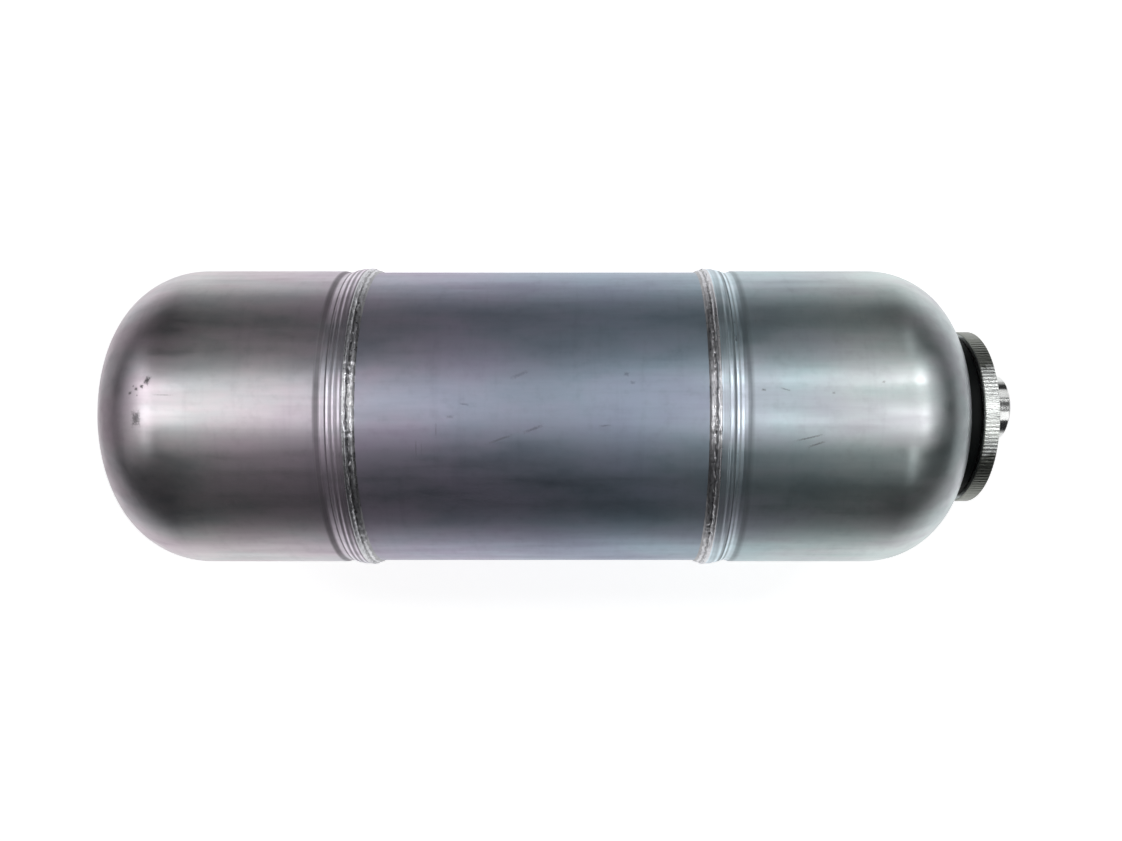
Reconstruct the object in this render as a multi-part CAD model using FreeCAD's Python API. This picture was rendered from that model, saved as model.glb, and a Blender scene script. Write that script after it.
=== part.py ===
import FreeCAD, Part
import math
import os

# Expansion tank, in millimetres.
# A bare steel vessel: two drawn heads are socketed over the ends of a rolled tube and welded there.
# The water end carries a flange plate with an offset threaded socket, clamped over the lip of a
# rubber bladder. The other pole carries a low gas valve.
# The axis is +X, from the gas end to the water end, and +Z is up.
# The origin is on the axis, at the middle of the centre tube.

# Drawn heads
head_radius = 80.0
sheet = 1.5
head_depth = 142.1
knuckle_radius = 45.0
crown_radius = 133.0

# Centre tube
tube_inset = 0.7
tube_length = 185.0

# Socket rolled into each head's rim: a groove and its ramp, then stepped rings that widen to the rim
lap_length = 3.9
lap_gap = 0.4
rim_land = 4.9
ring_pitch = 2.5
ring_steps = 2
ring_height = 0.5
step_width = 1.1
ramp_land = 0.5
ramp_length = 3.6
groove_depth = 1.0
groove_slope = 3.0

# Seam weld: it slopes from the rim down to the tube in two lobes with a channel between them
weld_on_tube = 4.1
weld_on_rim = 1.8
weld_height = 0.3
weld_bulge = 0.3
weld_channel_drop = 0.6
weld_channel_inset = 1.0
weld_channel_width = 0.8

# Neck ring, welded into the opening of the water end's head
neck_outer_radius = 37.5
neck_wall = 8.5
neck_length = 12.0
neck_weld_leg = 3.0

# Flange plate and its countersunk screws
plate_overhang = 9.5
plate_thickness = 8.0
plate_edge_chamfer = 0.5
rim_ridge_pitch = 2.0
rim_ridge_depth = 0.12
screw_count = 6
screw_radius = 2.5
screw_head_radius = 5.0
screw_length = 20.0
screw_clearance = 0.25
screw_tip_chamfer = 0.5
hex_key_width = 3.0
hex_key_depth = 2.2

# Water socket, turned from bar and welded into the plate beside its centre
socket_radius = 17.5
socket_reach = 18.5
socket_offset = 5.0
socket_fit = 0.1
socket_edge_chamfer = 0.8
thread_bore_radius = 12.06
thread_depth = 18.0
thread_lead_in = 1.2
waterway_radius = 10.0
socket_weld_leg = 3.0

# Bladder
bladder_wall = 2.0
lip_thickness = 3.6
lip_overhang = 6.7
lip_edge_chamfer = 0.6
bladder_neck_gap = 0.2
bladder_side_gap = 7.5
bladder_end_gap = 14.0
bladder_end_bevel = 21.0
bladder_crown_radius = 110.0

# Gas valve at the other pole
bush_radius = 11.0
bush_proud = 1.0
bush_length = 7.0
bush_weld_leg = 2.2
valve_thread_radius = 5.0
valve_hex_width = 12.0
valve_hex_height = 2.5
valve_stem_radius = 3.85
valve_stem_height = 5.0
valve_bore_radius = 2.6
valve_core_gap = 0.05
valve_core_length = 9.0
valve_pin_radius = 0.8
valve_pin_height = 1.5
seal_thickness = 1.0
seal_radius = 7.0
cap_radius = 5.0
cap_top = 1.0
cap_fit = 0.05
cap_seal_thickness = 0.6
cap_groove_count = 14
cap_groove_radius = 0.5
cap_groove_depth = 0.3

# Sizes that follow from the ones above
tube_radius = head_radius - tube_inset
tube_half = tube_length / 2
rim_x = tube_half - lap_length
rim_bore_radius = tube_radius + lap_gap
rim_radius = rim_bore_radius + sheet
pole_x = rim_x + head_depth
knuckle_centre_radius = head_radius - knuckle_radius
crown_angle = math.asin(knuckle_centre_radius / (crown_radius - knuckle_radius))
crown_centre_height = -(crown_radius - knuckle_radius) * math.cos(crown_angle)
dome_depth = crown_centre_height + crown_radius
dome_x = pole_x - dome_depth
neck_bore_radius = neck_outer_radius - neck_wall
screw_circle_radius = neck_outer_radius - neck_wall / 2
lip_radius = neck_outer_radius + lip_overhang
plate_radius = neck_outer_radius + plate_overhang


def dome_height(radius, inset):
    """Height of the dome over its base at a radius, on the surface that lies inset below the outside."""
    if radius <= (crown_radius - inset) * math.sin(crown_angle):
        return crown_centre_height + math.sqrt((crown_radius - inset) ** 2 - radius ** 2)
    return math.sqrt((knuckle_radius - inset) ** 2 - (radius - knuckle_centre_radius) ** 2)


ring_face_x = dome_x + dome_height(neck_outer_radius, 0)
ring_back_x = ring_face_x - neck_length
plate_back_x = ring_face_x + lip_thickness
plate_face_x = plate_back_x + plate_thickness
socket_end_x = plate_face_x + socket_reach
bush_face_x = -(pole_x + bush_proud)
hex_seat_x = bush_face_x - seal_thickness
stem_base_x = hex_seat_x - valve_hex_height
stem_end_x = stem_base_x - valve_stem_height


def point(x, radius):
    return FreeCAD.Vector(x, 0, radius)


def outline(start, *steps):
    """Closed wire in the plane of the axis. A step of two numbers is a straight edge to that station,
    and a step of four is an arc to the first pair through the second."""
    edges = []
    here = point(*start)
    for step in steps + (start,):
        there = point(step[0], step[1])
        if len(step) == 4:
            edges.append(Part.Arc(here, point(step[2], step[3]), there).toShape())
        else:
            edges.append(Part.LineSegment(here, there).toShape())
        here = there
    return Part.Wire(edges)


def turned(*stations):
    """Solid turned about the X axis from an outline of stations."""
    solid = Part.Face(outline(*stations)).revolve(FreeCAD.Vector(), FreeCAD.Vector(1, 0, 0), 360)
    if solid.Volume < 0:
        solid.reverse()
    return solid


def rod(x_from, x_to, radius, y=0.0, z=0.0):
    """Round bar along X."""
    return Part.makeCylinder(radius, x_to - x_from, FreeCAD.Vector(x_from, y, z), FreeCAD.Vector(1, 0, 0))


def hex_bar(x_from, x_to, width):
    """Six-sided bar along X, width across flats."""
    corner = width / math.sqrt(3)
    turns = [math.radians(60 * k) for k in range(7)]
    corners = [FreeCAD.Vector(x_from, corner * math.cos(t), corner * math.sin(t)) for t in turns]
    return Part.Face(Part.makePolygon(corners)).extrude(FreeCAD.Vector(x_to - x_from, 0, 0))


def screw_places():
    """Y and Z of each flange screw."""
    turns = [2 * math.pi * (k + 0.5) / screw_count for k in range(screw_count)]
    return [(screw_circle_radius * math.cos(t), screw_circle_radius * math.sin(t)) for t in turns]


def drilled(solid, x_from, x_to, radius):
    """The solid with a round hole at each flange screw."""
    for y, z in screw_places():
        solid = solid.cut(rod(x_from, x_to, radius, y, z))
    return solid


def centre_tube():
    bore = tube_radius - sheet
    return turned((-tube_half, bore), (tube_half, bore), (tube_half, tube_radius), (-tube_half, tube_radius))


def socket_outside():
    """Stations of the socket's outside, from the rim down the stepped rings and the ramp to the groove."""
    stations = [(rim_x, rim_radius)]
    for step in range(ring_steps):
        step_x = rim_x + rim_land + step * ring_pitch
        land_radius = rim_radius - step * ring_height
        stations.append((step_x, land_radius))
        stations.append((step_x + step_width, land_radius - ring_height))
    foot_x, foot_radius = stations[-1]
    ramp_x = foot_x + ramp_land
    stations.append((ramp_x, foot_radius))
    stations.append((ramp_x + ramp_length, head_radius - groove_depth))
    return stations


def dome_point(centre_height, centre_radius, reach, angle):
    """Station on one of the dome's arcs, at an angle from the axis."""
    return dome_x + centre_height + reach * math.cos(angle), centre_radius + reach * math.sin(angle)


def head(opening_radius):
    """Drawn head at the water end, with its rolled socket and a round opening at the pole."""
    outside = socket_outside()
    valley_x, valley_radius = outside[-1]
    skirt_x = valley_x + groove_slope
    opening_angle = math.asin(opening_radius / crown_radius)
    crown_middle = (opening_angle + crown_angle) / 2
    knuckle_middle = (crown_angle + math.pi / 2) / 2

    def on_crown(angle, inset):
        return dome_point(crown_centre_height, 0, crown_radius - inset, angle)

    def on_knuckle(angle, inset):
        return dome_point(0, knuckle_centre_radius, knuckle_radius - inset, angle)

    return turned(
        *outside,
        (skirt_x, head_radius),
        (dome_x, head_radius),
        on_knuckle(crown_angle, 0) + on_knuckle(knuckle_middle, 0),
        (dome_x + dome_height(opening_radius, 0), opening_radius) + on_crown(crown_middle, 0),
        (dome_x + dome_height(opening_radius, sheet), opening_radius),
        on_crown(crown_angle, sheet) + on_crown(crown_middle, sheet),
        (dome_x, head_radius - sheet) + on_knuckle(knuckle_middle, sheet),
        (skirt_x, head_radius - sheet),
        (valley_x, valley_radius - sheet),
        (tube_half, rim_bore_radius),
        (rim_x, rim_bore_radius),
    )


def seam_weld():
    """Lap weld round the water end's head: it fills the corner on the tube and laps onto the rim."""
    toe_x = rim_x - weld_on_tube
    end_x = rim_x + weld_on_rim
    channel_start_x = rim_x - weld_channel_inset - weld_channel_width / 2
    channel_end_x = channel_start_x + weld_channel_width
    channel_radius = rim_radius - weld_channel_drop
    lobe_x = (toe_x + channel_start_x) / 2
    lobe_radius = (tube_radius + channel_radius) / 2 + weld_bulge
    return turned(
        (channel_start_x, channel_radius),
        (toe_x, tube_radius, lobe_x, lobe_radius),
        (rim_x, tube_radius),
        (rim_x, rim_radius),
        (end_x, rim_radius),
        (channel_end_x, channel_radius, (channel_end_x + end_x) / 2, rim_radius + weld_height),
    )


def neck_ring():
    ring = turned(
        (ring_back_x, neck_bore_radius),
        (ring_face_x, neck_bore_radius),
        (ring_face_x, neck_outer_radius),
        (ring_back_x, neck_outer_radius),
    )
    return drilled(ring, ring_back_x, ring_face_x, screw_radius)


def neck_weld():
    """Fillet inside the vessel, between the neck ring and the head."""
    outer = neck_outer_radius + neck_weld_leg
    wall_x = dome_x + dome_height(neck_outer_radius, sheet)
    return turned(
        (wall_x - neck_weld_leg, neck_outer_radius),
        (wall_x, neck_outer_radius),
        (dome_x + dome_height(outer, sheet), outer),
    )


def bladder():
    """Bag, neck and lip moulded as one; the lip's underside follows the head outside the neck ring."""
    neck = neck_bore_radius - bladder_neck_gap
    bag = head_radius - sheet - bladder_side_gap
    shoulder_x = ring_back_x - (bag - neck)
    end_pole_x = -(pole_x - sheet) + bladder_end_gap
    end_radius = bag - bladder_end_bevel
    end_half_angle = math.asin(end_radius / bladder_crown_radius)
    end_x = end_pole_x + bladder_crown_radius * (1 - math.cos(end_half_angle))
    side_end_x = end_x + bladder_end_bevel
    inner_crown = bladder_crown_radius - bladder_wall
    crown_centre_x = end_pole_x + bladder_crown_radius
    mitre = bladder_wall * math.tan(math.pi / 8)

    def on_end(reach, angle):
        return crown_centre_x - reach * math.cos(angle), reach * math.sin(angle)

    lip_foot = (lip_radius + neck_outer_radius) / 2
    solid = turned(
        (plate_back_x, neck - bladder_wall),
        (plate_back_x, lip_radius - lip_edge_chamfer),
        (plate_back_x - lip_edge_chamfer, lip_radius),
        (dome_x + dome_height(lip_radius, 0), lip_radius),
        (ring_face_x, neck_outer_radius, dome_x + dome_height(lip_foot, 0), lip_foot),
        (ring_face_x, neck),
        (ring_back_x, neck),
        (shoulder_x, bag),
        (side_end_x, bag),
        (end_x, end_radius),
        (end_pole_x, 0) + on_end(bladder_crown_radius, end_half_angle / 2),
        (end_pole_x + bladder_wall, 0),
        on_end(inner_crown, end_half_angle) + on_end(inner_crown, end_half_angle / 2),
        (side_end_x + mitre, bag - bladder_wall),
        (shoulder_x - mitre, bag - bladder_wall),
        (ring_back_x - mitre, neck - bladder_wall),
    )
    return drilled(solid, ring_face_x, plate_back_x, screw_radius + screw_clearance)


def ridged_bar():
    """Bar with fine ridges along it, as the plate's cut rim has."""
    ridge_count = round(2 * math.pi * plate_radius / rim_ridge_pitch)
    corners = []
    for k in range(2 * ridge_count + 1):
        turn = math.pi * k / ridge_count
        reach = plate_radius - rim_ridge_depth * (k % 2)
        corners.append(FreeCAD.Vector(plate_back_x, reach * math.cos(turn), reach * math.sin(turn)))
    return Part.Face(Part.makePolygon(corners)).extrude(FreeCAD.Vector(plate_thickness, 0, 0))


def end_plate():
    """Flange plate: a cut disc with an offset hole for the socket and countersinks for the screws."""
    edge = plate_radius - plate_edge_chamfer
    plate = turned(
        (plate_back_x, 0),
        (plate_back_x, edge),
        (plate_back_x + plate_edge_chamfer, plate_radius),
        (plate_face_x - plate_edge_chamfer, plate_radius),
        (plate_face_x, edge),
        (plate_face_x, 0),
    )
    plate = plate.common(ridged_bar())
    plate = plate.cut(rod(plate_back_x, plate_face_x, socket_radius + socket_fit, socket_offset))
    hole_radius = screw_radius + screw_clearance
    plate = drilled(plate, plate_back_x, plate_face_x, hole_radius)
    sink_depth = screw_head_radius - hole_radius
    for y, z in screw_places():
        sink_base = FreeCAD.Vector(plate_face_x - sink_depth, y, z)
        sink = Part.makeCone(hole_radius, screw_head_radius, sink_depth, sink_base, FreeCAD.Vector(1, 0, 0))
        plate = plate.cut(sink)
    return plate


def water_socket():
    """Turned socket with a female thread's bore and a narrower waterway behind it."""
    thread_end = socket_end_x - thread_depth
    mouth = thread_bore_radius + thread_lead_in
    socket = turned(
        (plate_back_x, waterway_radius),
        (plate_back_x, socket_radius),
        (socket_end_x - socket_edge_chamfer, socket_radius),
        (socket_end_x, socket_radius - socket_edge_chamfer),
        (socket_end_x, mouth),
        (socket_end_x - thread_lead_in, thread_bore_radius),
        (thread_end, thread_bore_radius),
        (thread_end, waterway_radius),
    )
    socket.translate(FreeCAD.Vector(0, socket_offset, 0))
    return socket


def socket_weld():
    """Fillet round the socket on the plate's face."""
    weld = turned(
        (plate_face_x, socket_radius),
        (plate_face_x, socket_radius + socket_weld_leg),
        (plate_face_x + socket_weld_leg, socket_radius),
    )
    weld.translate(FreeCAD.Vector(0, socket_offset, 0))
    return weld


def flange_screws():
    """Countersunk screws with a hexagon socket, flush with the plate's face."""
    tip_x = plate_face_x - screw_length
    cone_x = plate_face_x - (screw_head_radius - screw_radius)
    screw = turned(
        (tip_x, 0),
        (tip_x, screw_radius - screw_tip_chamfer),
        (tip_x + screw_tip_chamfer, screw_radius),
        (cone_x, screw_radius),
        (plate_face_x, screw_head_radius),
        (plate_face_x, 0),
    )
    screw = screw.cut(hex_bar(plate_face_x - hex_key_depth, plate_face_x, hex_key_width))
    return Part.makeCompound([screw.translated(FreeCAD.Vector(0, y, z)) for y, z in screw_places()])


def valve_bush():
    return turned(
        (bush_face_x, valve_thread_radius),
        (bush_face_x, bush_radius),
        (bush_face_x + bush_length, bush_radius),
        (bush_face_x + bush_length, valve_thread_radius),
    )


def bush_weld():
    """Low fillet round the bush on the head's outside."""
    outer = bush_radius + bush_weld_leg
    middle = bush_radius + bush_weld_leg / 2
    return turned(
        (bush_face_x, bush_radius),
        (-(dome_x + dome_height(bush_radius, 0)), bush_radius),
        (-(dome_x + dome_height(outer, 0)), outer, -(dome_x + dome_height(middle, 0)), middle),
    )


def valve_body():
    """Screwed valve body: threaded shank, hexagon and stem, bored for the core."""
    shank = rod(hex_seat_x, bush_face_x + bush_length, valve_thread_radius)
    hexagon = hex_bar(stem_base_x, hex_seat_x, valve_hex_width)
    stem = rod(stem_end_x, stem_base_x, valve_stem_radius)
    body = shank.fuse([hexagon, stem]).removeSplitter()
    return body.cut(rod(stem_end_x, bush_face_x + bush_length, valve_bore_radius))


def valve_seal():
    return turned(
        (hex_seat_x, valve_thread_radius),
        (hex_seat_x, seal_radius),
        (bush_face_x, seal_radius),
        (bush_face_x, valve_thread_radius),
    )


def valve_core():
    """Core cartridge in the stem's bore, with its pin's tip level with the stem's end."""
    core_radius = valve_bore_radius - valve_core_gap
    core_x = stem_end_x + valve_pin_height
    return turned(
        (stem_end_x, 0),
        (stem_end_x, valve_pin_radius),
        (core_x, valve_pin_radius),
        (core_x, core_radius),
        (core_x + valve_core_length, core_radius),
        (core_x + valve_core_length, 0),
    )


def cap_seal():
    return rod(stem_end_x - cap_seal_thickness, stem_end_x, valve_stem_radius)


def valve_cap():
    """Screw cap over the stem, with grip grooves round it."""
    cavity_x = stem_end_x - cap_seal_thickness
    top_x = cavity_x - cap_top
    cap = rod(top_x, stem_base_x, cap_radius).cut(rod(cavity_x, stem_base_x, valve_stem_radius + cap_fit))
    reach = cap_radius + cap_groove_radius - cap_groove_depth
    for k in range(cap_groove_count):
        turn = 2 * math.pi * k / cap_groove_count
        y = reach * math.cos(turn)
        z = reach * math.sin(turn)
        cap = cap.cut(rod(top_x, stem_base_x, cap_groove_radius, y, z))
    return cap


def mirrored(shape):
    """The same piece at the other end of the vessel."""
    return shape.mirror(FreeCAD.Vector(), FreeCAD.Vector(1, 0, 0))


nodes = {
    "left_head": mirrored(head(bush_radius)),
    "centre_tube": centre_tube(),
    "right_head": head(neck_outer_radius),
    "left_seam_weld": mirrored(seam_weld()),
    "right_seam_weld": seam_weld(),
    "neck_ring": neck_ring(),
    "neck_weld": neck_weld(),
    "bladder": bladder(),
    "end_plate": end_plate(),
    "water_socket": water_socket(),
    "socket_weld": socket_weld(),
    "flange_screws": flange_screws(),
    "valve_bush": valve_bush(),
    "bush_weld": bush_weld(),
    "valve_body": valve_body(),
    "valve_seal": valve_seal(),
    "valve_core": valve_core(),
    "cap_seal": cap_seal(),
    "valve_cap": valve_cap(),
}

os.makedirs("parts", exist_ok=True)
for name, shape in nodes.items():
    shape.exportStep(f"parts/{name}.step")
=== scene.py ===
import math

import bpy
import numpy as np
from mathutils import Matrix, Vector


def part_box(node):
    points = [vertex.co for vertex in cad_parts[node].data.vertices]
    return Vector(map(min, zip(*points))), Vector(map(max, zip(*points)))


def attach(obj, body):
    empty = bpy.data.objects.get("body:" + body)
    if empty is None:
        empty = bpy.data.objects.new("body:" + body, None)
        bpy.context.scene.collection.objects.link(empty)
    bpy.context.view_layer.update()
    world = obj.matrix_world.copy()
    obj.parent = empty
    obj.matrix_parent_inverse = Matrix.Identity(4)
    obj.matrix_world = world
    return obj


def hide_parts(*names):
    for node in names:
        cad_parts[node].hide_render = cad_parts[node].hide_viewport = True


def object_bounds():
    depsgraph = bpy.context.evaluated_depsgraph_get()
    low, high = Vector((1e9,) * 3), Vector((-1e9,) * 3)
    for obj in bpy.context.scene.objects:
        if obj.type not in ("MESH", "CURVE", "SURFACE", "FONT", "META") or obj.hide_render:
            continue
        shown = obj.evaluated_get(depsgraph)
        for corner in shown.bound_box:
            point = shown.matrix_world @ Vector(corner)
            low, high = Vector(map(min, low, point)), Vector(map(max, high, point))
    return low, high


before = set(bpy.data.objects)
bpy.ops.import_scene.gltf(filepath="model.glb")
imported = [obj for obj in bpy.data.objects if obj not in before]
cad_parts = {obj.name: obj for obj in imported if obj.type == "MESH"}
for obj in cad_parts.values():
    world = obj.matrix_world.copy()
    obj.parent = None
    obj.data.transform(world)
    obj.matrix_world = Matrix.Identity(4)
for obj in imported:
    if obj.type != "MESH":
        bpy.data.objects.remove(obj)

plain_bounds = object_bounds()
MM = 0.001
TURN = 2 * math.pi

# Sizes read from the frame
tube_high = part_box("centre_tube")[1]
head_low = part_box("right_head")[0]
weld_low, weld_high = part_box("right_seam_weld")
plate_low, plate_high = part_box("end_plate")
socket_low, socket_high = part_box("water_socket")

# Vessel, as in the part's source
SHEET = 1.5 * MM
HEAD_RADIUS = 80.0 * MM
TUBE_RADIUS = 79.3 * MM
TUBE_HALF = tube_high.x
RIM_X = head_low.x
RIM_RADIUS = 81.2 * MM
RIM_LAND = 4.9 * MM
RING_PITCH = 2.5 * MM
RING_STEPS = 2
RING_HEIGHT = 0.5 * MM
STEP_WIDTH = 1.1 * MM
RAMP_LAND = 0.5 * MM
RAMP_LENGTH = 3.6 * MM
GROOVE_DEPTH = 1.0 * MM
GROOVE_SLOPE = 3.0 * MM
HEAD_DEPTH = 142.1 * MM
KNUCKLE_RADIUS = 45.0 * MM
CROWN_RADIUS = 133.0 * MM
NECK_RADIUS = 37.5 * MM
BUSH_RADIUS = 11.0 * MM

# Seam weld
WELD_ON_TUBE = RIM_X - weld_low.x
WELD_ON_RIM = weld_high.x - RIM_X
WELD_CREST = weld_high.z
WELD_HEIGHT = 0.3 * MM
WELD_BULGE = 0.3 * MM
CHANNEL_DROP = 0.6 * MM
CHANNEL_INSET = 1.0 * MM
CHANNEL_WIDTH = 0.8 * MM

# Ripples of the weld: how many waves add up to one, and the fewest and most crests of a wave round the turn
WAVE_COUNT = 14
WANDER_CRESTS = (14, 80)
FINE_WANDER_CRESTS = (100, 200)
RIPPLE_CRESTS = (110, 230)
SWELL_CRESTS = (20, 90)
PIT_CRESTS = (40, 150)

# The weld's unevenness: how far it reaches from the channel, and how much each ripple moves the surface
WELD_REACH = 2.6 * MM
WELD_SWELL = 0.05
WELD_RIPPLE = 0.016
RIPPLE_OUT_OF_REACH = 0.3
WELD_SINK = 0.03
FINE_WANDER = 0.25
GUTTER_HALF = 0.7 * MM
GUTTER_WANDER = 0.3 * MM
GUTTER_DEPTH = 0.2
GUTTER_PITS = 0.14
SIDE_WANDER = 0.2
SEAT_MARGIN = 0.02 * MM

# Water socket, with the pipe thread cut into its bore
SOCKET_OFFSET = 5.0 * MM
SOCKET_RADIUS = 17.5 * MM
SOCKET_CHAMFER = 0.8 * MM
THREAD_BORE = 12.06 * MM
THREAD_DEEP = 1.1 * MM
THREAD_PITCH = 1.814 * MM
THREAD_DEPTH = 18.0 * MM
THREAD_LEAD_IN = 1.2 * MM
THREAD_RUN_OUT = 2.0 * MM
BORE_MARGIN = 0.01 * MM
WATERWAY_RADIUS = 10.0 * MM

# Rolled corners, how far they and their outline run on past the groove, and the fine crease in the ramp
SOFT_CORNER = 0.32 * MM
ROLLED_TAIL = 1.2 * MM
SKIRT_TAIL = 5.0 * MM
CREASE_DEPTH = 0.14 * MM
CREASE_WIDTH = 0.22 * MM
LEFT_CREASE = 10.0 * MM
RIGHT_CREASE = 8.5 * MM

# Mesh fineness
HEAD_SEGMENTS = 384
WELD_SEGMENTS = 2000
SOCKET_SEGMENTS = 192
ROLLED_STATIONS = 118
CORNER_SAMPLES = 9
THREAD_STATIONS = 130
SHARP_ANGLE = math.radians(40)

# Derived dome sizes
POLE_X = RIM_X + HEAD_DEPTH
KNUCKLE_CENTRE = HEAD_RADIUS - KNUCKLE_RADIUS
CROWN_ANGLE = math.asin(KNUCKLE_CENTRE / (CROWN_RADIUS - KNUCKLE_RADIUS))
CROWN_DROP = (CROWN_RADIUS - KNUCKLE_RADIUS) * math.cos(CROWN_ANGLE)
DOME_X = POLE_X - CROWN_RADIUS + CROWN_DROP


# Mesh tools
def revolved(name, profile, segments, material, centre_y=0.0, shape=None):
    """Mesh turned about the X axis from a closed run of x and radius; shape may vary them round the turn."""
    stations = np.array(profile, dtype=float)
    rows = len(stations)
    angles = np.arange(segments) * TURN / segments
    x = np.repeat(stations[:, 0][None, :], segments, axis=0)
    r = np.repeat(stations[:, 1][None, :], segments, axis=0)
    if shape:
        x, r = shape(x, r, angles[:, None])
    y = centre_y + r * np.sin(angles)[:, None]
    z = r * np.cos(angles)[:, None]
    points = np.stack([x, y, z], axis=2).reshape(-1, 3)
    turn, row = np.meshgrid(np.arange(segments), np.arange(rows), indexing="ij")
    next_turn = (turn + 1) % segments
    next_row = (row + 1) % rows
    corners = [
        turn * rows + row,
        turn * rows + next_row,
        next_turn * rows + next_row,
        next_turn * rows + row,
    ]
    quads = np.stack(corners, axis=2).reshape(-1, 4)
    mesh = bpy.data.meshes.new(name)
    mesh.vertices.add(len(points))
    mesh.vertices.foreach_set("co", points.ravel())
    mesh.loops.add(quads.size)
    mesh.loops.foreach_set("vertex_index", quads.ravel())
    mesh.polygons.add(len(quads))
    mesh.polygons.foreach_set("loop_start", np.arange(len(quads)) * 4)
    mesh.update(calc_edges=True)
    mesh.validate()
    mesh.shade_smooth()
    mesh.set_sharp_from_angle(angle=SHARP_ANGLE)
    mesh.materials.append(material)
    piece = bpy.data.objects.new(name, mesh)
    bpy.context.collection.objects.link(piece)
    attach(piece, "root")
    return piece


def arc(centre_x, centre_r, radius, start, end, count):
    """Stations along an arc; angles are from the X axis."""
    return [
        (centre_x + radius * math.cos(a), centre_r + radius * math.sin(a))
        for a in np.linspace(start, end, count)
    ]


def lobe(start, end, bulge, count):
    """Stations of one rounded lobe between two places, without the first."""
    (x0, r0), (x1, r1) = start, end
    parts = np.linspace(0, 1, count)[1:]
    return [(x0 + (x1 - x0) * p, r0 + (r1 - r0) * p + 4 * bulge * p * (1 - p)) for p in parts]


def flipped(stations):
    """The same stations on the vessel's other side."""
    return [(-x, r) for x, r in stations]


def waves(angles, lowest, highest, seed):
    """Uneven ripple round the turn, between about -1 and 1."""
    rng = np.random.default_rng(seed)
    counts = rng.integers(lowest, highest, WAVE_COUNT)
    phases = rng.uniform(0, TURN, WAVE_COUNT)
    weights = rng.uniform(0.5, 1.0, WAVE_COUNT)
    total = sum(w * np.cos(c * angles + p) for c, p, w in zip(counts, phases, weights))
    return total / math.sqrt((weights ** 2).sum())


# Vessel pieces
def socket_corners():
    """Corners of the rolled socket's outside, as depth behind the rim and radius."""
    corners = [(0, RIM_RADIUS)]
    for step in range(RING_STEPS):
        depth = RIM_LAND + step * RING_PITCH
        radius = RIM_RADIUS - step * RING_HEIGHT
        corners += [(depth, radius), (depth + STEP_WIDTH, radius - RING_HEIGHT)]
    ramp_start = corners[-1][0] + RAMP_LAND
    valley = ramp_start + RAMP_LENGTH
    skirt = valley + GROOVE_SLOPE
    return corners + [
        (ramp_start, corners[-1][1]),
        (valley, HEAD_RADIUS - GROOVE_DEPTH),
        (skirt, HEAD_RADIUS),
        (skirt + SKIRT_TAIL, HEAD_RADIUS),
    ]


def rim_stations(crease):
    """The socket's outside with its corners rolled soft, and a fine crease in the ramp."""
    depths, radii = np.array(socket_corners()).T
    places = np.linspace(SOFT_CORNER, depths[-2] + ROLLED_TAIL, ROLLED_STATIONS)
    offsets = np.linspace(-SOFT_CORNER, SOFT_CORNER, CORNER_SAMPLES)
    soft = np.mean([np.interp(places + offset, depths, radii) for offset in offsets], axis=0)
    soft = soft - CREASE_DEPTH * np.exp(-((places - crease) / CREASE_WIDTH) ** 2)
    return [(RIM_X + d, r) for d, r in zip(places, soft)]


def head_stations(opening, crease):
    """Section of one head: from its rim over the dome to its opening, and back along the inside."""
    corners = socket_corners()
    valley, skirt = corners[-3][0], corners[-2][0]
    inner_knuckle = KNUCKLE_RADIUS - SHEET
    inner_crown = CROWN_RADIUS - SHEET
    crown_centre = DOME_X - CROWN_DROP
    quarter = TURN / 4
    opening_out = math.asin(opening / CROWN_RADIUS)
    opening_in = math.asin(opening / inner_crown)
    return (
        [(RIM_X, RIM_RADIUS)]
        + rim_stations(crease)
        + arc(DOME_X, KNUCKLE_CENTRE, KNUCKLE_RADIUS, quarter, CROWN_ANGLE, count=36)
        + arc(crown_centre, 0, CROWN_RADIUS, CROWN_ANGLE, opening_out, count=18)[1:]
        + arc(crown_centre, 0, inner_crown, opening_in, CROWN_ANGLE, count=10)
        + arc(DOME_X, KNUCKLE_CENTRE, inner_knuckle, CROWN_ANGLE, quarter, count=14)[1:]
        + [
            (RIM_X + skirt, HEAD_RADIUS - SHEET),
            (RIM_X + valley, HEAD_RADIUS - GROOVE_DEPTH - SHEET),
            (TUBE_HALF, RIM_RADIUS - SHEET),
            (RIM_X, RIM_RADIUS - SHEET),
        ]
    )


def weld_stations():
    """Section of the seam weld: a lobe up from the tube, a channel, and a lobe over the rim's edge."""
    toe = (RIM_X - WELD_ON_TUBE, TUBE_RADIUS)
    floor_radius = RIM_RADIUS - CHANNEL_DROP
    channel_start = (RIM_X - CHANNEL_INSET - CHANNEL_WIDTH / 2, floor_radius)
    channel_end = (channel_start[0] + CHANNEL_WIDTH, floor_radius)
    end = (RIM_X + WELD_ON_RIM, RIM_RADIUS)
    return (
        [toe]
        + lobe(toe, channel_start, WELD_BULGE, count=16)
        + lobe(channel_start, channel_end, 0, count=5)
        + lobe(channel_end, end, WELD_HEIGHT + CHANNEL_DROP / 2, count=14)
        + [(RIM_X, RIM_RADIUS), (RIM_X, TUBE_RADIUS)]
    )


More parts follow.
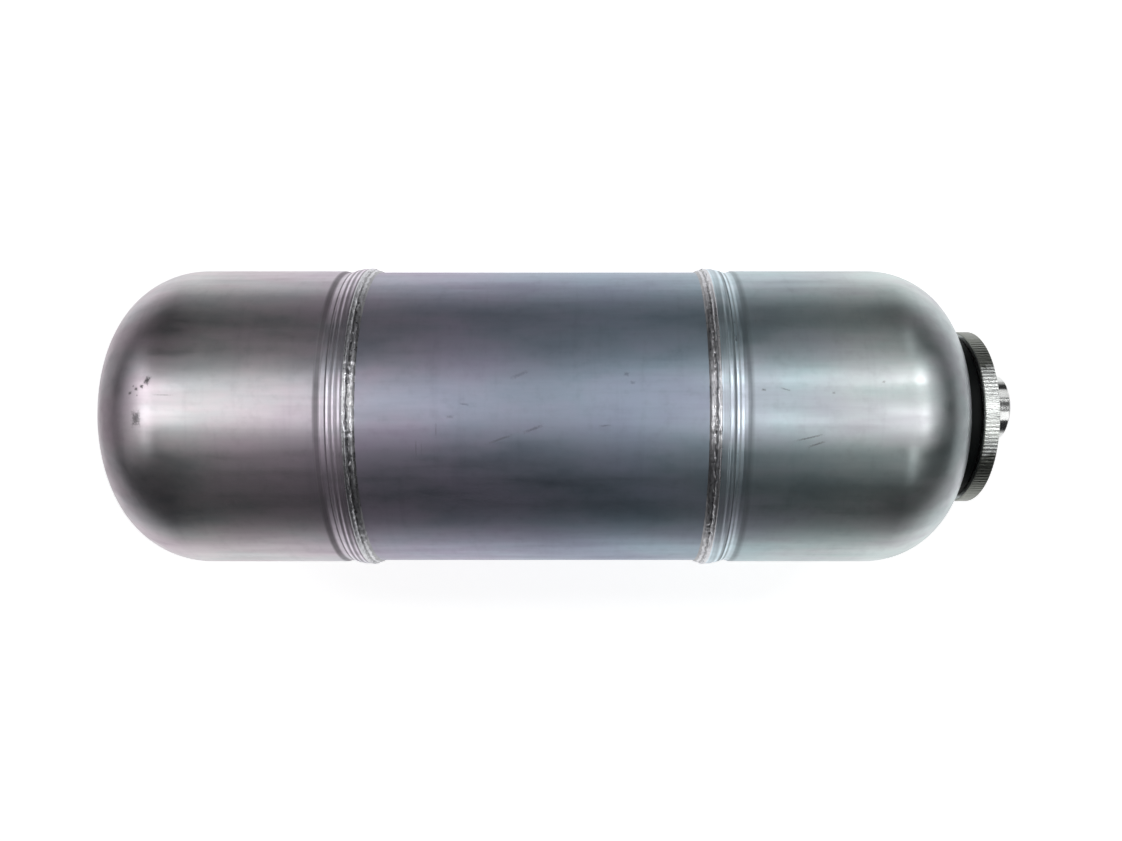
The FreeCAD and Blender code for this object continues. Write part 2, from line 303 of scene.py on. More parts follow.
def weld_shape(side, seed):
    """Uneven lobes with a soft ripple, and a wandering channel between them."""
    def shape(x, r, angles):
        depth = np.abs(x) - RIM_X + CHANNEL_INSET
        outside = (r > TUBE_RADIUS + SEAT_MARGIN) & (np.abs(x) != RIM_X)
        reach = np.clip(1 - np.abs(depth) / WELD_REACH, 0, 1) * outside
        wander = waves(angles, *WANDER_CRESTS, seed)
        wander = wander + FINE_WANDER * waves(angles, *FINE_WANDER_CRESTS, seed + 5)
        ripple = waves(angles, *RIPPLE_CRESTS, seed + 1)
        swell = waves(angles, *SWELL_CRESTS, seed + 2)
        pits = np.clip(waves(angles, *PIT_CRESTS, seed + 3), 0, 2)
        uneven = WELD_SWELL * swell + WELD_RIPPLE * ripple * (RIPPLE_OUT_OF_REACH + reach) - WELD_SINK
        r = r + outside * MM * uneven
        gutter = np.exp(-((depth - GUTTER_WANDER * wander) / GUTTER_HALF) ** 2) * outside
        r = r - MM * gutter * (GUTTER_DEPTH + GUTTER_PITS * pits)
        x = x + side * reach * SIDE_WANDER * MM * wander
        return x, np.minimum(r, WELD_CREST)
    return shape


def tube_stations():
    """Section of the tube's sheet, with a station at its middle."""
    inner = TUBE_RADIUS - SHEET
    return [
        (-TUBE_HALF, inner),
        (-TUBE_HALF, TUBE_RADIUS),
        (0, TUBE_RADIUS),
        (TUBE_HALF, TUBE_RADIUS),
        (TUBE_HALF, inner),
        (0, inner),
    ]


def socket_stations():
    """Section of the water socket, its bore fine enough to carry the thread."""
    end = socket_high.x
    back = socket_low.x
    mouth = THREAD_BORE + THREAD_LEAD_IN
    thread_end = end - THREAD_DEPTH
    bore = [(x, THREAD_BORE) for x in np.linspace(end - THREAD_LEAD_IN, thread_end, THREAD_STATIONS)]
    return [
        (back, WATERWAY_RADIUS),
        (back, SOCKET_RADIUS),
        (plate_high.x, SOCKET_RADIUS),
        (end - SOCKET_CHAMFER, SOCKET_RADIUS),
        (end, SOCKET_RADIUS - SOCKET_CHAMFER),
        (end, mouth),
    ] + bore + [(thread_end, WATERWAY_RADIUS)]


def thread_shape(x, r, angles):
    """Helical thread in the bore, running out before the bore's end."""
    in_bore = np.abs(r - THREAD_BORE) < BORE_MARGIN
    phase = (x / THREAD_PITCH - angles / TURN) % 1.0
    tooth = np.abs(2 * phase - 1)
    run_out = np.clip((x - (socket_high.x - THREAD_DEPTH)) / THREAD_RUN_OUT, 0, 1)
    return x, r + in_bore * THREAD_DEEP * tooth * run_out


# Material tools
def new_material(name):
    """A metal or plastic material to fill, with its object coordinates."""
    material = bpy.data.materials.new(name)
    material.use_nodes = True
    tree = material.node_tree
    shader = tree.nodes["Principled BSDF"]
    place = tree.nodes.new("ShaderNodeTexCoord").outputs["Object"]
    return material, tree, shader, place


def axes(tree, place):
    """The three parts of a place: x, y and z."""
    node = tree.nodes.new("ShaderNodeSeparateXYZ")
    tree.links.new(place, node.inputs[0])
    return tuple(node.outputs)


def math_node(tree, operation, first, second=None, clamp=False):
    node = tree.nodes.new("ShaderNodeMath")
    node.operation = operation
    node.use_clamp = clamp
    for socket, value in zip(node.inputs, (first, second)):
        if isinstance(value, (int, float)):
            socket.default_value = value
        elif value is not None:
            tree.links.new(value, socket)
    return node.outputs[0]


def added(tree, first, second):
    return math_node(tree, "ADD", first, second)


def less(tree, first, second):
    return math_node(tree, "SUBTRACT", first, second)


def times(tree, first, second):
    return math_node(tree, "MULTIPLY", first, second)


def larger(tree, first, second):
    return math_node(tree, "MAXIMUM", first, second)


def unsigned(tree, value):
    return math_node(tree, "ABSOLUTE", value)


def noise(tree, place, scale, detail=4.0, roughness=0.5, stretch=(1, 1, 1)):
    mapping = tree.nodes.new("ShaderNodeMapping")
    mapping.inputs["Scale"].default_value = stretch
    tree.links.new(place, mapping.inputs["Vector"])
    node = tree.nodes.new("ShaderNodeTexNoise")
    node.inputs["Scale"].default_value = scale
    node.inputs["Detail"].default_value = detail
    node.inputs["Roughness"].default_value = roughness
    tree.links.new(mapping.outputs[0], node.inputs["Vector"])
    return node.outputs["Fac"]


def ramp(tree, value, stops):
    """Colour by a value between 0 and 1, from stops of position and colour."""
    node = tree.nodes.new("ShaderNodeValToRGB")
    tree.links.new(value, node.inputs[0])
    elements = node.color_ramp.elements
    elements[0].position, elements[0].color = stops[0][0], (*stops[0][1], 1)
    elements[1].position, elements[1].color = stops[-1][0], (*stops[-1][1], 1)
    for position, colour in stops[1:-1]:
        element = elements.new(position)
        element.color = (*colour, 1)
    return node.outputs[0]


def mixed(tree, factor, first, second, blend="MIX"):
    node = tree.nodes.new("ShaderNodeMix")
    node.data_type = "RGBA"
    node.blend_type = blend
    for socket, value in ((node.inputs[0], factor), (node.inputs[6], first), (node.inputs[7], second)):
        if isinstance(value, (int, float)):
            socket.default_value = value
        elif isinstance(value, tuple):
            socket.default_value = (*value, 1)
        else:
            tree.links.new(value, socket)
    return node.outputs[2]


def tinted(tree, colour, share, tint):
    """The colour multiplied by a tint, as far as share says."""
    return mixed(tree, share, colour, tint, "MULTIPLY")


def spread(tree, value, low, high, to_low=0.0, to_high=1.0):
    """Bring a value between low and high to a new range, and hold it there."""
    node = tree.nodes.new("ShaderNodeMapRange")
    node.inputs["From Min"].default_value = low
    node.inputs["From Max"].default_value = high
    node.inputs["To Min"].default_value = to_low
    node.inputs["To Max"].default_value = to_high
    tree.links.new(value, node.inputs["Value"])
    return node.outputs[0]


def bump(tree, shader, height, strength, distance):
    node = tree.nodes.new("ShaderNodeBump")
    node.inputs["Strength"].default_value = strength
    node.inputs["Distance"].default_value = distance
    tree.links.new(height, node.inputs["Height"])
    tree.links.new(node.outputs[0], shader.inputs["Normal"])


# Heat tints along each shell, as place on the axis in millimetres and colour
LEFT_HUES = [
    (-231, (0.44, 0.36, 0.4)),
    (-200, (0.56, 0.5, 0.54)),
    (-165, (0.65, 0.62, 0.63)),
    (-130, (0.64, 0.6, 0.63)),
    (-100, (0.58, 0.54, 0.6)),
]
TUBE_HUES = [
    (-85, (0.49, 0.47, 0.56)),
    (-40, (0.45, 0.45, 0.56)),
    (0, (0.4, 0.44, 0.54)),
    (50, (0.39, 0.47, 0.57)),
    (85, (0.43, 0.51, 0.59)),
]
RIGHT_HUES = [
    (100, (0.52, 0.6, 0.65)),
    (120, (0.5, 0.6, 0.63)),
    (160, (0.57, 0.64, 0.64)),
    (190, (0.61, 0.67, 0.66)),
    (231, (0.53, 0.58, 0.6)),
]

# Painted highlights and painted shade of the rolled sockets: each stop is a depth behind the rim in
# millimetres and a tone against the plain shell, bright where the lamps' highlights fall on the rings and
# dark where shade falls
RING_HIGHLIGHT_PEAK = 1.5
RING_POLISH = 0.2
LEFT_RING_SHADING = [
    (0.0, 0.55), (0.6, 0.55), (1.1, 1.4), (1.6, 1.35), (1.9, 0.65), (2.4, 0.65), (2.8, 1.4), (3.4, 1.4),
    (3.9, 0.8), (4.7, 0.7), (5.1, 0.9), (5.6, 1.4), (6.2, 1.4), (6.7, 0.7), (7.3, 0.65), (8.0, 1.1),
    (8.7, 1.4), (9.3, 1.3), (9.7, 0.5), (10.2, 0.5), (10.6, 1.1), (12.5, 1.1), (13.5, 0.5), (14.9, 0.5),
    (16.2, 1.0),
]
RIGHT_RING_SHADING = [
    (0.4, 0.7), (1.2, 1.4), (2.1, 1.4), (2.8, 1.05), (3.4, 1.15), (4.6, 1.0), (5.2, 0.92), (5.8, 1.15),
    (6.3, 1.4), (6.9, 1.4), (7.5, 0.8), (8.8, 0.55), (9.2, 1.45), (9.9, 1.45), (10.4, 0.8), (10.9, 0.8),
    (11.4, 1.3), (12.3, 1.3), (13.1, 1.15), (13.9, 1.1), (14.6, 0.75), (15.9, 0.7), (16.9, 0.85),
    (17.8, 1.0),
]

# Marks on the shells, seen from above: start and end as x and y in millimetres, half width, strength
LEFT_MARKS = [
    ((-184.2, 13.2), (-182.4, 17.4), 1.5, 0.85),
    ((-193.0, 9.1), (-190.8, 9.5), 0.8, 0.75),
    ((-189.6, 11.0), (-187.9, 11.3), 0.8, 0.75),
    ((-187.0, 12.6), (-184.9, 12.2), 0.9, 0.75),
    ((-190.8, 12.5), (-189.8, 12.6), 0.5, 0.6),
    ((-188.5, 8.2), (-187.6, 8.3), 0.5, 0.6),
    ((-180.1, 8.4), (-170.5, 8.2), 0.3, 0.4),
    ((-191.2, -3.0), (-186.0, -2.9), 4.0, 0.7),
]
TUBE_MARKS = [
    ((-34.8, 4.3), (-30.0, 3.6), 0.55, 0.34),
    ((-41.0, -2.1), (-37.0, -2.1), 0.8, 0.28),
    ((-22.0, -15.1), (-8.5, -10.4), 0.65, 0.42),
    ((-4.5, -9.8), (5.6, -6.0), 0.8, 0.38),
    ((-9.9, 16.4), (-1.6, 20.0), 1.0, 0.26),
    ((-45.7, -5.0), (-45.8, -12.1), 0.5, 0.25),
    ((-55.4, -12.5), (-55.6, -21.7), 0.5, 0.3),
    ((-52.8, -13.5), (-52.9, -21.0), 0.4, 0.22),
    ((43.6, 18.7), (46.4, 18.1), 1.1, 0.34),
    ((46.6, 14.4), (49.2, 14.0), 0.9, 0.3),
    ((32.0, -6.6), (37.5, -5.9), 0.5, 0.36),
    ((-60.0, -40.0), (10.0, -43.0), 1.4, 0.12),
]
RIGHT_MARKS = [
    ((109.0, 10.9), (111.4, 10.7), 0.6, 0.55),
    ((118.0, 11.7), (123.2, 10.3), 0.45, 0.4),
    ((142.6, 9.4), (144.2, 9.2), 0.6, 0.45),
    ((166.6, 14.7), (168.2, 14.5), 0.6, 0.4),
    ((124.8, -13.7), (139.0, -10.4), 0.5, 0.5),
    ((131.0, -16.6), (140.0, -13.6), 0.55, 0.5),
]

# The marks' colour, how ragged and how sharp their edges are, and how much rougher the steel is there
MARK_COLOUR = (0.09, 0.085, 0.09)
MARK_RAGGED = 2.0
MARK_EDGE = 1.4
MARK_ROUGHNESS = 0.25

# Bare steel of the shells; the domes get smoother between two depths behind the rim, in millimetres
HUE_DRIFT = 90 * MM
HEAD_ROUGHNESS = 0.42
TUBE_ROUGHNESS = 0.47
DOME_POLISH = -0.07
DOME_POLISH_DEPTHS = (72.0, 90.0)

# Weld, as depth behind the rim in millimetres and tone: darker in the channel and at the toe, or plain
WELD_DARK_TONE = (0.4, 0.4, 0.4)
WELD_PLAIN_TONE = (1.0, 1.0, 1.0)
WELD_TONES = [
    (-3.9, WELD_DARK_TONE), (-3.0, WELD_DARK_TONE), (-2.6, WELD_PLAIN_TONE), (-1.7, WELD_PLAIN_TONE),
    (-1.3, WELD_DARK_TONE), (-0.6, WELD_DARK_TONE), (-0.1, WELD_PLAIN_TONE), (1.8, WELD_PLAIN_TONE),
]
WELD_TONES_AHEAD = 4.2
WELD_TONES_RUN = 6.0
WELD_RAGGED = 2.6 * MM

# End plate: tears of the cut round its rim, and the rim's painted highlight on top with painted shade on its
# flanks, by its turn in radians from the top
TEARS_PER_RADIAN = 128.0
TEARS_ALONG = 260.0
TEARS_SWAY = 9.0
RIM_START = plate_high.z - 0.9 * MM
RIM_FULL = plate_high.z - 0.6 * MM
HIGHLIGHT_MIDDLE = 0.06
HIGHLIGHT_END = 0.47
SHADE_START = 0.54
HIGHLIGHT_SWAY = 0.3
REAR_SHADE_EDGE = plate_low.x + 0.4 * MM
REAR_HIGHLIGHT_EDGE = plate_low.x + 0.9 * MM
PLATE_PAINTED_SHADE = (0.2, 0.21, 0.19)


# Materials
def mark(tree, x, y, above, start, end, half_width, grit):
    """Mask of one broken scratch or smudge between two places on the upper side."""
    dx, dy = (end[0] - start[0]) * MM, (end[1] - start[1]) * MM
    length = math.hypot(dx, dy)
    along_x, along_y = dx / length, dy / length
    rel_x = less(tree, x, (start[0] + end[0]) / 2 * MM)
    rel_y = less(tree, y, (start[1] + end[1]) / 2 * MM)
    run = added(tree, times(tree, rel_x, along_x), times(tree, rel_y, along_y))
    side = less(tree, times(tree, rel_y, along_x), times(tree, rel_x, along_y))
    far_along = math_node(tree, "DIVIDE", unsigned(tree, run), length / 2)
    far_aside = math_node(tree, "DIVIDE", unsigned(tree, side), half_width * MM)
    reach = added(tree, MARK_RAGGED, times(tree, grit, -MARK_RAGGED))
    edge = less(tree, reach, larger(tree, far_along, far_aside))
    solid = math_node(tree, "MULTIPLY", edge, MARK_EDGE, clamp=True)
    return times(tree, solid, above)


def painted_ring_light(tree, depth, socket_shading):
    """Painted highlights and painted shade of the rolled socket, over the peak tone: bright lines where the
    lamps' highlights fall, dark lines where shade falls.
    """
    reach = socket_shading[-1][0]
    stops = [(at / reach, (tone / RING_HIGHLIGHT_PEAK,) * 3) for at, tone in socket_shading]
    return ramp(tree, math_node(tree, "DIVIDE", depth, reach), stops)


def shell_steel(name, hues, marks, roughness, socket_shading=None):
    """Bare rolled steel: heat tints, fine grain, faint streaks along the axis and the marks of handling."""
    material, tree, shader, place = new_material(name)
    x, y, z = axes(tree, place)
    above = math_node(tree, "GREATER_THAN", z, 0.0)
    clouds = noise(tree, place, 11, 4, 0.55)
    patches = noise(tree, place, 34, 5, 0.6, (0.45, 1, 1))
    fine = noise(tree, place, 180, 6, 0.6)
    streaks = noise(tree, place, 130, 5, 0.65, (0.07, 1, 1))
    hoops = noise(tree, place, 160, 3, 0.6, (1, 0.1, 0.1))
    grit = noise(tree, place, 1500, 3, 0.75)

    drift = times(tree, less(tree, clouds, 0.5), HUE_DRIFT)
    along = times(tree, added(tree, x, drift), 1 / MM)
    low, high = hues[0][0], hues[-1][0]
    colour = ramp(tree, spread(tree, along, low, high), [((p - low) / (high - low), c) for p, c in hues])
    layers = [
        (patches, 0.45, 0.68, 0.8, (0.98, 0.88, 0.95)),
        (patches, 0.52, 0.34, 0.8, (0.8, 0.88, 0.89)),
        (streaks, 0.42, 0.75, 0.45, (0.74, 0.73, 0.75)),
        (hoops, 0.55, 0.8, 0.4, (0.8, 0.8, 0.82)),
        (fine, 0.5, 0.8, 0.5, (0.78, 0.77, 0.78)),
    ]
    for pattern, none_at, full_at, share, tint in layers:
        colour = tinted(tree, colour, spread(tree, pattern, none_at, full_at, 0.0, share), tint)
    scuffs = 0.0
    for start, end, half_width, strength in marks:
        one = mark(tree, x, y, above, start, end, half_width, grit)
        scuffs = larger(tree, times(tree, one, strength), scuffs)
    colour = mixed(tree, scuffs, colour, MARK_COLOUR)

    patchy = spread(tree, patches, 0.3, 0.7, roughness - 0.05, roughness + 0.05)
    rough = added(tree, patchy, spread(tree, streaks, 0.3, 0.7, -0.04, 0.04))
    rough = added(tree, rough, times(tree, scuffs, MARK_ROUGHNESS))
    # The rolled sockets get painted highlights and painted shade in their colour, and smoother steel on the
    # bright lines.
    if socket_shading:
        depth = times(tree, less(tree, unsigned(tree, x), RIM_X), 1 / MM)
        tone = painted_ring_light(tree, depth, socket_shading)
        lifted = tree.nodes.new("ShaderNodeVectorMath")
        lifted.operation = "SCALE"
        lifted.inputs["Scale"].default_value = RING_HIGHLIGHT_PEAK
        tree.links.new(tinted(tree, colour, 1.0, tone), lifted.inputs[0])
        colour = lifted.outputs[0]
        polish = spread(tree, tone, 0.0, 1.0, RING_POLISH, RING_POLISH * (1 - RING_HIGHLIGHT_PEAK))
        rough = added(tree, rough, polish)
        rough = added(tree, rough, spread(tree, depth, *DOME_POLISH_DEPTHS, 0.0, DOME_POLISH))
    tree.links.new(colour, shader.inputs["Base Color"])
    tree.links.new(rough, shader.inputs["Roughness"])
    shader.inputs["Metallic"].default_value = 1.0
    bump(tree, shader, added(tree, fine, streaks), 0.1, 0.06 * MM)
    return material


def weld_metal():
    """Bead of bare weld: smooth lobes, darker in the channel and at the toe."""
    material, tree, shader, place = new_material("weld_metal")
    x = axes(tree, place)[0]
    clouds = noise(tree, place, 60, 4, 0.6)
    ragged = noise(tree, place, 260, 4, 0.65)
    grain = noise(tree, place, 900, 3, 0.6)
    colour = ramp(tree, clouds, [(0.3, (0.5, 0.5, 0.53)), (0.5, (0.6, 0.6, 0.63)), (0.7, (0.72, 0.72, 0.74))])
    depth = less(tree, unsigned(tree, x), RIM_X)
    wander = times(tree, less(tree, ragged, 0.5), WELD_RAGGED)
    depth = times(tree, added(tree, depth, wander), 1 / MM)
    scaled = math_node(tree, "DIVIDE", added(tree, depth, WELD_TONES_AHEAD), WELD_TONES_RUN)
    # Darker in the channel and at the toe, by depth behind the rim.
    tone = ramp(tree, scaled, [((at + WELD_TONES_AHEAD) / WELD_TONES_RUN, c) for at, c in WELD_TONES])
    tree.links.new(tinted(tree, colour, 0.85, tone), shader.inputs["Base Color"])
    tree.links.new(spread(tree, grain, 0.3, 0.7, 0.24, 0.4), shader.inputs["Roughness"])
    shader.inputs["Metallic"].default_value = 1.0
    bump(tree, shader, added(tree, ragged, times(tree, grain, 0.5)), 0.12, 0.05 * MM)
    return material


def cut_steel():
    """Plate with a milled face; its rim is torn in ridges, with a painted highlight on top and painted shade
    on its flanks.
    """
    material, tree, shader, place = new_material("cut_steel")
    x, y, z = axes(tree, place)
    sway = noise(tree, place, 260, 3, 0.6)
    clouds = noise(tree, place, 40, 3, 0.5)
    fine = noise(tree, place, 900, 4, 0.6, (0.3, 1, 1))
    mill = noise(tree, place, 300, 4, 0.6, (1, 1, 0.12))

    turn = math_node(tree, "ARCTAN2", y, z)
    phase = added(tree, times(tree, turn, TEARS_PER_RADIAN), times(tree, x, TEARS_ALONG))
    phase = added(tree, phase, times(tree, sway, TEARS_SWAY))
    tears = math_node(tree, "POWER", unsigned(tree, math_node(tree, "SINE", phase)), 2.0)
    off_axis = math_node(tree, "SQRT", added(tree, times(tree, y, y), times(tree, z, z)))
    on_rim = spread(tree, off_axis, RIM_START, RIM_FULL)
    rim = ramp(tree, tears, [(0.0, (0.5, 0.51, 0.5)), (0.3, (0.78, 0.81, 0.79)), (0.8, (0.9, 0.93, 0.91))])
    face = ramp(tree, mill, [(0.3, (0.6, 0.61, 0.6)), (0.7, (0.78, 0.79, 0.78))])
    colour = mixed(tree, on_rim, face, rim)

    # Painted highlight on the rim's top, fading into painted shade on its flanks and towards its rear face.
    flank = unsigned(tree, less(tree, turn, HIGHLIGHT_MIDDLE))
    flank = added(tree, flank, times(tree, less(tree, sway, 0.5), HIGHLIGHT_SWAY))
    rim_highlight = spread(tree, flank, HIGHLIGHT_END, SHADE_START, 1.0, 0.0)
    rim_highlight = times(tree, rim_highlight, spread(tree, x, REAR_SHADE_EDGE, REAR_HIGHLIGHT_EDGE))
    # Painted shade: the rim's flanks and rear edge are darkened.
    scaled = times(tree, less(tree, 1.0, rim_highlight), on_rim)
    colour = mixed(tree, scaled, colour, PLATE_PAINTED_SHADE)
    colour = tinted(tree, colour, spread(tree, clouds, 0.4, 0.7, 0.0, 0.35), (0.8, 0.82, 0.74))
    tree.links.new(colour, shader.inputs["Base Color"])
    tree.links.new(spread(tree, fine, 0.3, 0.7, 0.25, 0.36), shader.inputs["Roughness"])
    shader.inputs["Metallic"].default_value = 1.0
    bump(tree, shader, added(tree, times(tree, tears, on_rim), times(tree, fine, 0.3)), 0.17, 0.1 * MM)
    return material


def turned_steel(name, tint, roughness):
    """Machined metal with fine turning lines round the axis."""
    material, tree, shader, place = new_material(name)
    lines = noise(tree, place, 1500, 2, 0.5, (1, 0.02, 0.02))
    clouds = noise(tree, place, 120, 3, 0.5)
    darker = tuple(0.75 * c for c in tint)
    colour = mixed(tree, spread(tree, clouds, 0.0, 1.0, 0.0, 0.3), tint, darker)
    tree.links.new(colour, shader.inputs["Base Color"])
    rough = spread(tree, lines, 0.0, 1.0, roughness - 0.01, roughness + 0.015)
    tree.links.new(rough, shader.inputs["Roughness"])
    shader.inputs["Metallic"].default_value = 1.0
    bump(tree, shader, lines, 0.012, 0.05 * MM)
    return material


def dark_soft(name, tint, roughness, gloss):
    """Rubber or plastic with a fine moulded grain and a little dust."""
    material, tree, shader, place = new_material(name)
    grain = noise(tree, place, 700, 4, 0.6)
    dust = noise(tree, place, 90, 5, 0.6)
    dusty = tuple(c * 2.2 + 0.004 for c in tint)
    colour = mixed(tree, spread(tree, dust, 0.0, 1.0, 0.0, 0.3), tint, dusty)
    tree.links.new(colour, shader.inputs["Base Color"])
    rough = spread(tree, grain, 0.0, 1.0, roughness - 0.1, roughness + 0.12)
    tree.links.new(rough, shader.inputs["Roughness"])
    shader.inputs["Specular IOR Level"].default_value = gloss
    bump(tree, shader, grain, 0.2, 0.06 * MM)
    return material


left_steel = shell_steel("left_head_steel", LEFT_HUES, LEFT_MARKS, HEAD_ROUGHNESS, LEFT_RING_SHADING)
tube_steel = shell_steel("tube_steel", TUBE_HUES, TUBE_MARKS, TUBE_ROUGHNESS)
right_steel = shell_steel("right_head_steel", RIGHT_HUES, RIGHT_MARKS, HEAD_ROUGHNESS, RIGHT_RING_SHADING)
weld_steel = weld_metal()
plate_steel = cut_steel()
polished_steel = turned_steel("turned_steel", (0.7, 0.71, 0.7), 0.17)
screw_steel = turned_steel("screw_steel", (0.5, 0.5, 0.51), 0.25)
brass = turned_steel("valve_brass", (0.72, 0.55, 0.28), 0.25)
rubber = dark_soft("black_rubber", (0.004, 0.005, 0.005), roughness=0.45, gloss=0.08)
plastic = dark_soft("cap_plastic", (0.02, 0.02, 0.02), roughness=0.45, gloss=0.4)


# Finer pieces in place of the frame's
def stand_for(node):
    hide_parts(node)


left_profile = flipped(head_stations(BUSH_RADIUS, LEFT_CREASE))
right_profile = head_stations(NECK_RADIUS, RIGHT_CREASE)
left_head_shell = revolved("left_head_shell", left_profile, HEAD_SEGMENTS, left_steel)
stand_for("left_head")
right_head_shell = revolved("right_head_shell", right_profile, HEAD_SEGMENTS, right_steel)
stand_for("right_head")
tube_shell = revolved("tube_shell", tube_stations(), HEAD_SEGMENTS, tube_steel)
stand_for("centre_tube")
left_weld_bead = revolved(
    "left_weld_bead", flipped(weld_stations()), WELD_SEGMENTS, weld_steel, shape=weld_shape(side=-1, seed=11)
)
stand_for("left_seam_weld")
right_weld_bead = revolved(
    "right_weld_bead", weld_stations(), WELD_SEGMENTS, weld_steel, shape=weld_shape(side=1, seed=23)
)
stand_for("right_seam_weld")
threaded_socket = revolved(
    "threaded_socket", socket_stations(), SOCKET_SEGMENTS, polished_steel, SOCKET_OFFSET, shape=thread_shape
)
stand_for("water_socket")

FRAME_FINISH = {
    "neck_ring": plate_steel,
    "neck_weld": weld_steel,
    "bladder": rubber,
    "end_plate": plate_steel,
    "socket_weld": weld_steel,
    "flange_screws": screw_steel,
    "valve_bush": polished_steel,
    "bush_weld": weld_steel,
    "valve_body": brass,
    "valve_seal": rubber,
    "valve_core": brass,
    "cap_seal": rubber,
    "valve_cap": plastic,
}
for node, material in FRAME_FINISH.items():
    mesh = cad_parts[node].data
    mesh.materials.clear()
    mesh.materials.append(material)

# Floor; its evenly lit part reaches just past what the camera sees and falls off over each of these ranges
FLOOR_HALF = 2.5
FLOOR_COLOUR = (0.85, 0.85, 0.85, 1)
FLOOR_LIFT = 0.64
LIT_LEFT = (-0.46, -0.36)
LIT_RIGHT = (0.39, 0.5)
LIT_FRONT = (-0.42, -0.28)
LIT_BACK = (0.28, 0.36)


def floor_material():
    """Pale floor, lifted to white in its lit part for camera, glossy and transmission rays alike."""
    material = bpy.data.materials.new("floor")
    material.use_nodes = True
    tree = material.node_tree
    tree.nodes.clear()
    place = tree.nodes.new("ShaderNodeTexCoord").outputs["Object"]
    x, y = axes(tree, place)[:2]
    across = times(tree, spread(tree, y, *LIT_FRONT), spread(tree, y, *LIT_BACK, 1.0, 0.0))
    along = times(tree, spread(tree, x, *LIT_LEFT), spread(tree, x, *LIT_RIGHT, 1.0, 0.0))
    level = times(tree, times(tree, across, along), FLOOR_LIFT)
    path = tree.nodes.new("ShaderNodeLightPath").outputs
    seen = larger(tree, path["Is Camera Ray"], path["Is Glossy Ray"])
    seen = larger(tree, seen, path["Is Transmission Ray"])
    diffuse = tree.nodes.new("ShaderNodeBsdfDiffuse")
    diffuse.inputs["Color"].default_value = FLOOR_COLOUR
    lift = tree.nodes.new("ShaderNodeEmission")
    tree.links.new(times(tree, level, seen), lift.inputs["Strength"])
    both = tree.nodes.new("ShaderNodeAddShader")
    tree.links.new(diffuse.outputs[0], both.inputs[0])
    tree.links.new(lift.outputs[0], both.inputs[1])
    out = tree.nodes.new("ShaderNodeOutputMaterial")
    tree.links.new(both.outputs[0], out.inputs["Surface"])
    return material


floor_z = plain_bounds[0].z
corners = [
    (-FLOOR_HALF, -FLOOR_HALF, floor_z),
    (FLOOR_HALF, -FLOOR_HALF, floor_z),
    (FLOOR_HALF, FLOOR_HALF, floor_z),
    (-FLOOR_HALF, FLOOR_HALF, floor_z),
]
floor_mesh = bpy.data.meshes.new("floor")
floor_mesh.from_pydata(corners, [], [(0, 1, 2, 3)])
floor_mesh.materials.append(floor_material())
floor = bpy.data.objects.new("floor", floor_mesh)
bpy.context.collection.objects.link(floor)


# Light
def soft_box(name, place, size, power, heading=0.0, tint=(1, 1, 1)):
    """Rectangular lamp above the floor, tipped towards the vessel's axis; heading turns it on its face."""
    lamp = bpy.data.lights.new(name, "AREA")
    lamp.shape = "RECTANGLE"
    lamp.size, lamp.size_y = size
    lamp.energy = power
    lamp.color = tint
    holder = bpy.data.objects.new(name, lamp)
    holder.location = place
    holder.rotation_euler = (-math.atan2(place[1], place[2]), 0, math.radians(heading))
    bpy.context.collection.objects.link(holder)
    return holder


def side_screen(name, place, size, power, tint=(1, 1, 1)):
    """Upright lamp beside the vessel, its face turned to the vessel's middle."""
    holder = soft_box(name, place, size, power, tint=tint)
    turn = TURN / 4 if place[0] > 0 else -TURN / 4
    holder.rotation_euler = (0, turn, 0)


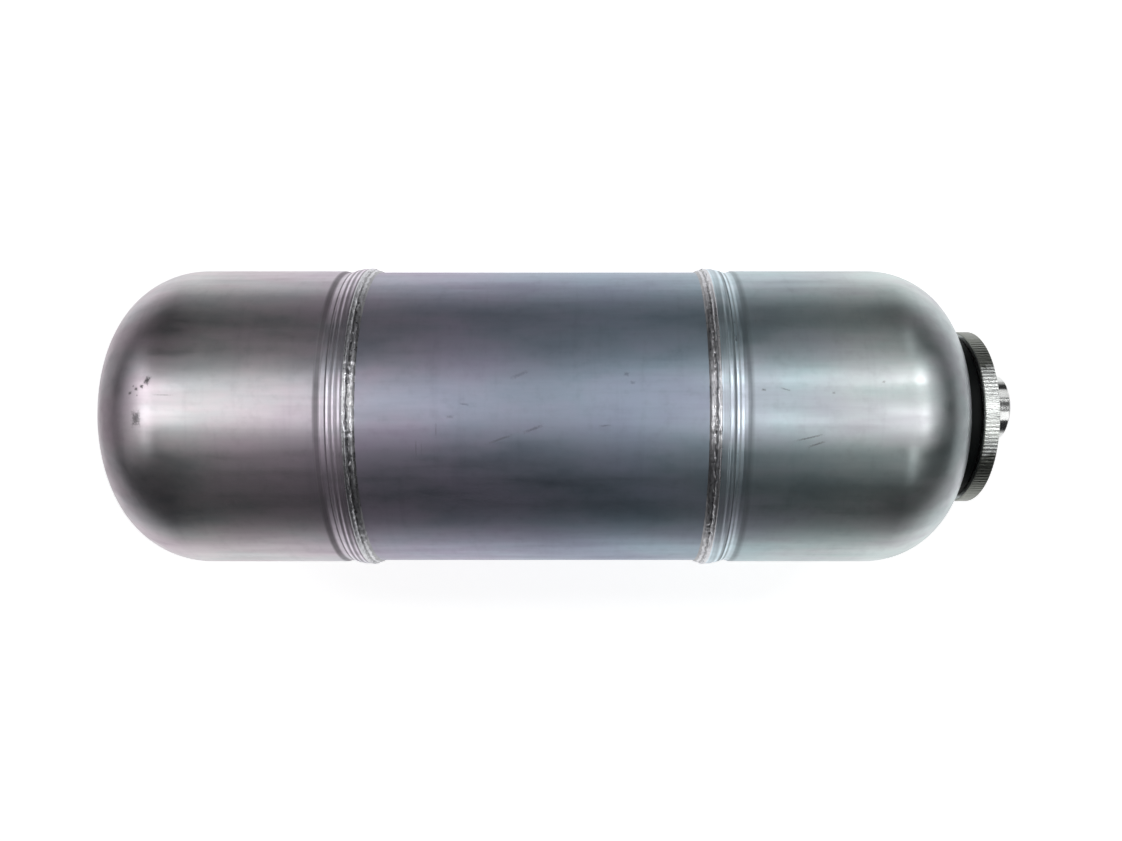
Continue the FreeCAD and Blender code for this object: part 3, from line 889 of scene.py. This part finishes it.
# Two rows of tubes over the vessel, then the panels and screens round it
LAMP_HEIGHT = 1.6
soft_box("back_tube_left", (-0.965, 0.54, LAMP_HEIGHT), (1.51, 0.18), 3.9, heading=2)
soft_box("back_tube_right", (0.53, 0.76, LAMP_HEIGHT), (0.54, 0.17), 2.6, heading=3)
soft_box("back_tube_far", (1.4, 0.83, LAMP_HEIGHT), (0.5, 0.17), 2.6, heading=3)
soft_box("front_tube_left", (-0.965, 0.0, LAMP_HEIGHT), (1.51, 0.22), 4.1)
soft_box("front_tube_right", (0.56, -0.07, LAMP_HEIGHT), (0.48, 0.22), 2.6)
soft_box("front_tube_far", (1.4, -0.06, LAMP_HEIGHT), (0.5, 0.24), 3.1)
soft_box("left_tube_end", (-1.52, 0.1, LAMP_HEIGHT), (0.3, 1.7), 4.6)
soft_box("left_far_panel", (-2.0, 0.95, LAMP_HEIGHT), (0.4, 0.7), 1.6)
soft_box("back_tube_end", (1.6, 0.95, LAMP_HEIGHT), (0.2, 0.4), 2.4)
soft_box("front_tube_end", (1.6, -0.16, LAMP_HEIGHT), (0.2, 0.4), 2.4)
soft_box("back_panel", (0.0, 1.35, 0.8), (0.5, 0.35), 0.27)
soft_box("back_end_panel", (0.94, 1.3, 1.03), (0.16, 0.95), 0.8)
soft_box("front_end_panel", (0.87, -0.7, 1.17), (0.16, 0.78), 0.85)
side_screen("left_screen", (-1.75, 0.6, 1.05), (0.9, 1.2), 1.9, tint=(0.94, 0.98, 1.0))
side_screen("left_front_screen", (-1.75, -0.35, 0.9), (0.8, 0.7), 0.8)
side_screen("right_screen", (1.9, 0.5, 1.25), (0.9, 1.3), 2.0, tint=(0.97, 0.99, 1.0))

# World, the same plain dark grey to every ray
WORLD_COLOUR = (0.03, 0.03, 0.032, 1)
world = bpy.data.worlds.new("studio")
world.use_nodes = True
bpy.context.scene.world = world
background = world.node_tree.nodes["Background"]
background.inputs["Color"].default_value = WORLD_COLOUR
background.inputs["Strength"].default_value = 1.0

# Camera, straight above the vessel
CAMERA_X = 23.2 * MM
CAMERA_Y = -13.95 * MM
CAMERA_HEIGHT = 533.6 * MM
CAMERA_NEAR = 10.0 * MM
SENSOR = 36.0
PHOTO_WIDTH = 1122
FOCAL_PIXELS = 956.3
FOOT_RIGHT = 19.8
FOOT_BELOW = 21.3
camera = bpy.data.cameras.new("camera")
camera.sensor_width = SENSOR
camera.lens = SENSOR * FOCAL_PIXELS / PHOTO_WIDTH
camera.shift_x = -FOOT_RIGHT / PHOTO_WIDTH
camera.shift_y = FOOT_BELOW / PHOTO_WIDTH
camera.clip_start = CAMERA_NEAR
viewer = bpy.data.objects.new("camera", camera)
viewer.location = (CAMERA_X, CAMERA_Y, CAMERA_HEIGHT)
bpy.context.collection.objects.link(viewer)
bpy.context.scene.camera = viewer
bpy.context.scene.view_settings.view_transform = "Standard"
